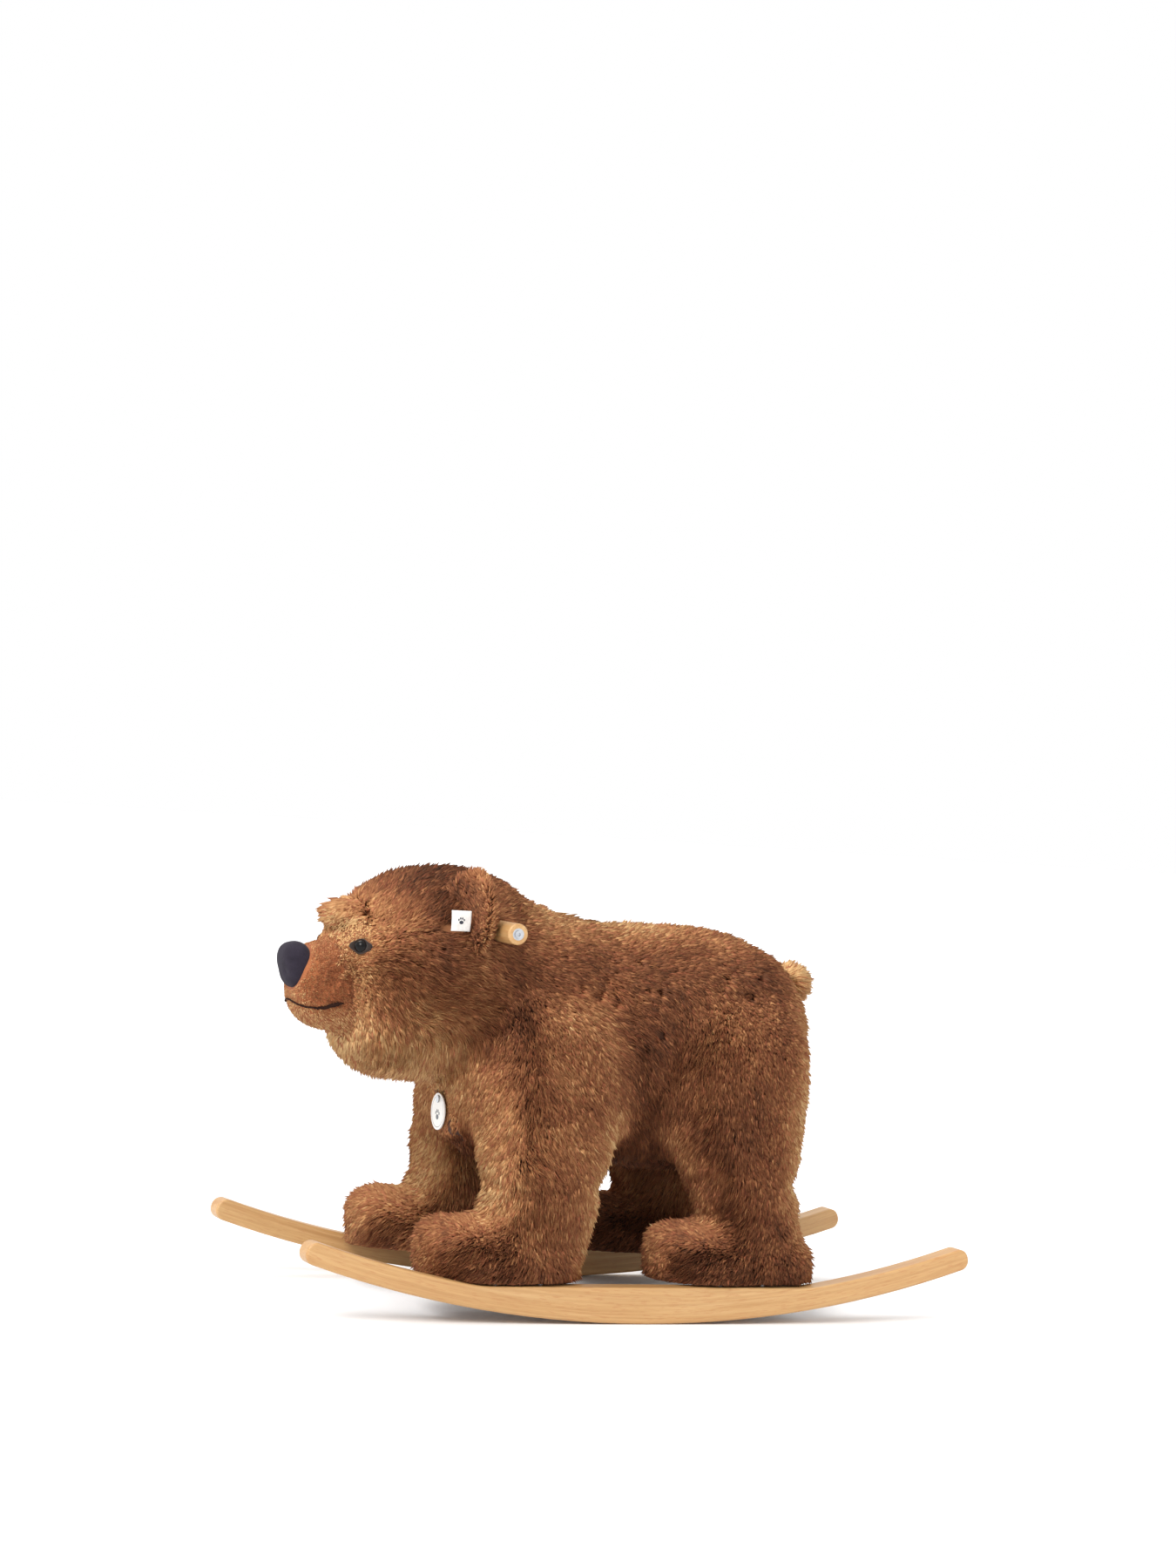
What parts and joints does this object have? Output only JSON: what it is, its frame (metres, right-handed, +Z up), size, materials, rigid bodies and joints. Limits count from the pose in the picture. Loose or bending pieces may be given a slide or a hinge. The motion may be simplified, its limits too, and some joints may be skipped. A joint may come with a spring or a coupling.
{
  "type": "rocking horse",
  "caption": "Ride-on plush bear with a steel frame inside, on curved beech rockers, with wooden hand grips behind the ears and a swinging chest tag.",
  "frame": {"origin": "on the floor under the middle of the two rockers, at the bottom centre of the box round the toy", "axes": "+Z up; the bear faces -X and the rockers run along X; +Y is across the toy, with the bear's left side at -Y"},
  "size_m": [0.8536, 0.37, 0.518],
  "materials": {
    "beech": "satin",
    "frame_steel": "matte",
    "fixings": "satin",
    "wadding": "matte",
    "short_pile": "matte",
    "long_pile": "matte",
    "sole_felt": "matte",
    "nose_velour": "matte",
    "eye_gloss": "gloss",
    "lock_plastic": "matte",
    "dark_thread": "matte",
    "woven_label": "matte",
    "tag_card": "satin",
    "pin_metal": "satin"
  },
  "bodies": {
    "bear": {"ear_label": "woven_label", "eye_lock_washers": "lock_plastic", "eye_rims": "dark_thread", "front_cross_bar": "frame_steel", "front_left_foot_plate": "frame_steel", "front_left_leg_cover": "long_pile", "front_left_leg_filling": "wadding", "front_left_leg_tube": "frame_steel", "front_left_paw_cover": "long_pile", "front_left_sole": "sole_felt", "front_right_foot_plate": "frame_steel", "front_right_leg_cover": "long_pile", "front_right_leg_filling": "wadding", "front_right_leg_tube": "frame_steel", "front_right_paw_cover": "long_pile", "front_right_sole": "sole_felt", "grip_screws": "fixings", "grip_washers": "fixings", "handle_bar": "frame_steel", "head_cover": "long_pile", "head_filling": "wadding", "left_ear": "long_pile", "left_eye": "eye_gloss", "left_grip": "beech", "left_rocker": "beech", "mouth_stitch": "dark_thread", "muzzle_cover": "short_pile", "muzzle_filling": "wadding", "neck_tube": "frame_steel", "nose": "nose_velour", "rear_cross_bar": "frame_steel", "rear_left_foot_plate": "frame_steel", "rear_left_leg_cover": "long_pile", "rear_left_leg_filling": "wadding", "rear_left_leg_tube": "frame_steel", "rear_left_paw_cover": "long_pile", "rear_left_sole": "sole_felt", "rear_right_foot_plate": "frame_steel", "rear_right_leg_cover": "long_pile", "rear_right_leg_filling": "wadding", "rear_right_leg_tube": "frame_steel", "rear_right_paw_cover": "long_pile", "rear_right_sole": "sole_felt", "right_ear": "long_pile", "right_eye": "eye_gloss", "right_grip": "beech", "right_rocker": "beech", "rocker_bolts": "fixings", "rocker_washers": "fixings", "spine_tube": "frame_steel", "tag_pin": "pin_metal", "tail": "long_pile", "torso_cover": "long_pile", "torso_filling": "wadding", "weld_nuts": "fixings"},
    "tag": {"chest_tag": "tag_card"}
  },
  "joints": [
    {"name": "tag_swing", "type": "hinge", "parent": "bear", "child": "tag", "pos_m": [-0.2092, 0, 0.238], "axis": [1, 0, 0], "range_deg": [-35, 35]}
  ]
}
